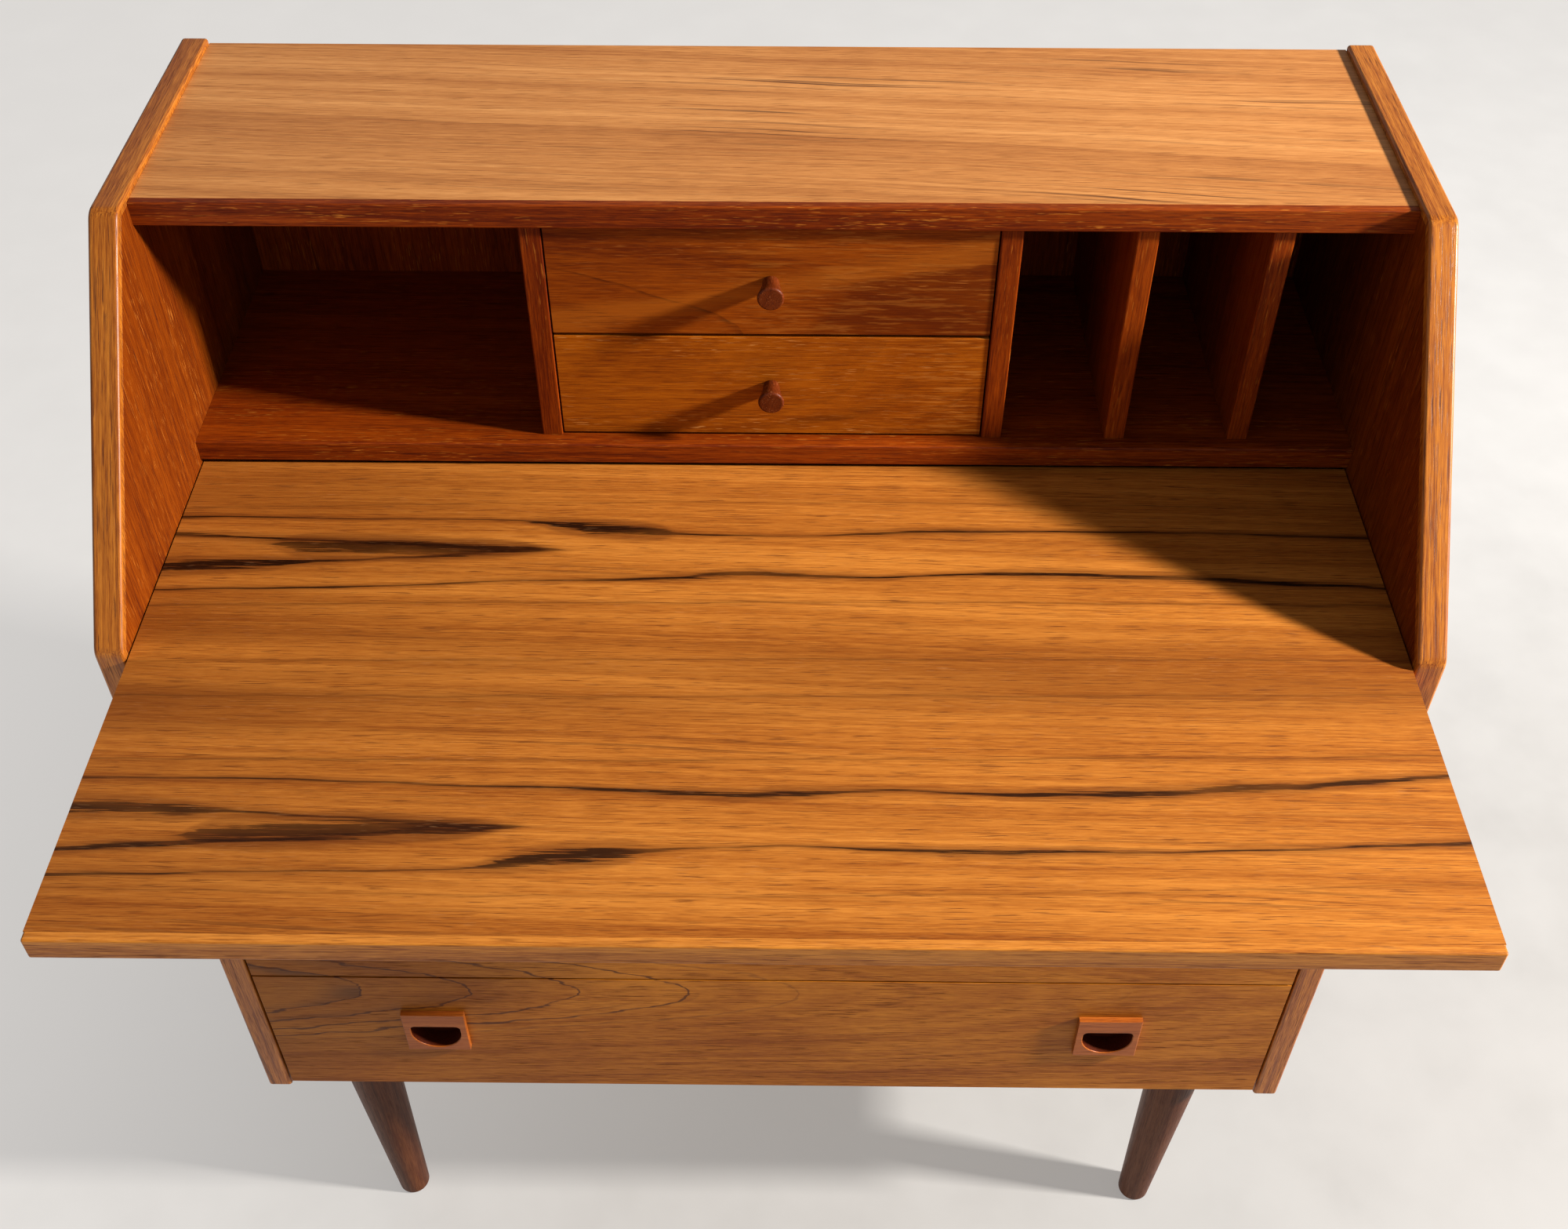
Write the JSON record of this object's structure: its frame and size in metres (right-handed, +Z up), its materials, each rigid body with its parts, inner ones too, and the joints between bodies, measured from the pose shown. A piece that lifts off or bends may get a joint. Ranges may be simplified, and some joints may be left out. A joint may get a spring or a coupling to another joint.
{
  "type": "secretary desk",
  "caption": "Slant-sided wooden secretary desk on turned legs, with a pull-out writing board, pigeonholes, letter slots and sliding drawers.",
  "frame": {"origin": "on the floor, under the middle of the desk with its writing board pulled out", "axes": "+X to the right of a person facing the desk, +Y to the back, +Z up"},
  "size_m": [0.81, 0.594, 0.94],
  "materials": {
    "veneer_teak": "golden-brown teak veneer, oiled, satin",
    "solid_teak": "solid teak, red-brown, oiled, satin",
    "handle_teak": "solid red-brown hardwood, oiled, satin",
    "beech": "pale hardwood, waxed",
    "drawer_bottom": "pale plywood, sealed",
    "back_veneer": "plywood with a plain teak veneer, oiled",
    "dark_leg": "dark-stained hardwood, satin lacquer",
    "steel": "zinc-plated steel",
    "brass": "plain brass"
  },
  "bodies": {
    "case": {"side_panel_left": "veneer_teak", "side_panel_right": "veneer_teak", "side_edging_left": "veneer_teak", "side_edging_right": "veneer_teak", "top_board": "veneer_teak", "top_board_edging": "solid_teak", "shelf": "veneer_teak", "shelf_edging": "solid_teak", "back_panel": "back_veneer", "bottom_panel": "veneer_teak", "front_rail": "solid_teak", "divider_bay_left": "solid_teak", "divider_bay_right": "solid_teak", "divider_slot_left": "solid_teak", "divider_slot_right": "solid_teak", "board_runner_left": "beech", "board_runner_right": "beech", "drawer_runners_left": "beech", "drawer_runners_right": "beech", "small_drawer_runners": "beech", "leg_front_left": "dark_leg", "leg_front_right": "dark_leg", "leg_rear_left": "dark_leg", "leg_rear_right": "dark_leg", "leg_plates": "steel", "leg_bolts": "steel", "case_screws": "steel"},
    "writing_board": {"writing_board": "veneer_teak", "writing_board_edging": "solid_teak", "writing_board_pins": "brass"},
    "small_drawer_upper": {"small_drawer_upper_front": "veneer_teak", "small_drawer_upper_sides": "beech", "small_drawer_upper_back": "beech", "small_drawer_upper_bottom": "drawer_bottom", "small_drawer_upper_knob": "solid_teak"},
    "small_drawer_lower": {"small_drawer_lower_front": "veneer_teak", "small_drawer_lower_sides": "beech", "small_drawer_lower_back": "beech", "small_drawer_lower_bottom": "drawer_bottom", "small_drawer_lower_knob": "solid_teak"},
    "drawer_top": {"drawer_top_front": "veneer_teak", "drawer_top_side_left": "beech", "drawer_top_side_right": "beech", "drawer_top_back": "beech", "drawer_top_bottom": "drawer_bottom", "drawer_top_handles": "handle_teak"},
    "drawer_middle": {"drawer_middle_front": "veneer_teak", "drawer_middle_side_left": "beech", "drawer_middle_side_right": "beech", "drawer_middle_back": "beech", "drawer_middle_bottom": "drawer_bottom", "drawer_middle_handles": "handle_teak"},
    "drawer_lowest": {"drawer_lowest_front": "veneer_teak", "drawer_lowest_side_left": "beech", "drawer_lowest_side_right": "beech", "drawer_lowest_back": "beech", "drawer_lowest_bottom": "drawer_bottom", "drawer_lowest_handles": "handle_teak"}
  },
  "joints": [
    {"name": "writing_board_slide", "type": "slide", "parent": "case", "child": "writing_board", "axis": [0, 1, 0], "range_m": [0, 0.2]},
    {"name": "small_drawer_upper_slide", "type": "slide", "parent": "case", "child": "small_drawer_upper", "axis": [0, -1, 0], "range_m": [0, 0.12]},
    {"name": "small_drawer_lower_slide", "type": "slide", "parent": "case", "child": "small_drawer_lower", "axis": [0, -1, 0], "range_m": [0, 0.12]},
    {"name": "drawer_top_slide", "type": "slide", "parent": "case", "child": "drawer_top", "axis": [0, -1, 0], "range_m": [0, 0.25]},
    {"name": "drawer_middle_slide", "type": "slide", "parent": "case", "child": "drawer_middle", "axis": [0, -1, 0], "range_m": [0, 0.25]},
    {"name": "drawer_lowest_slide", "type": "slide", "parent": "case", "child": "drawer_lowest", "axis": [0, -1, 0], "range_m": [0, 0.25]}
  ]
}
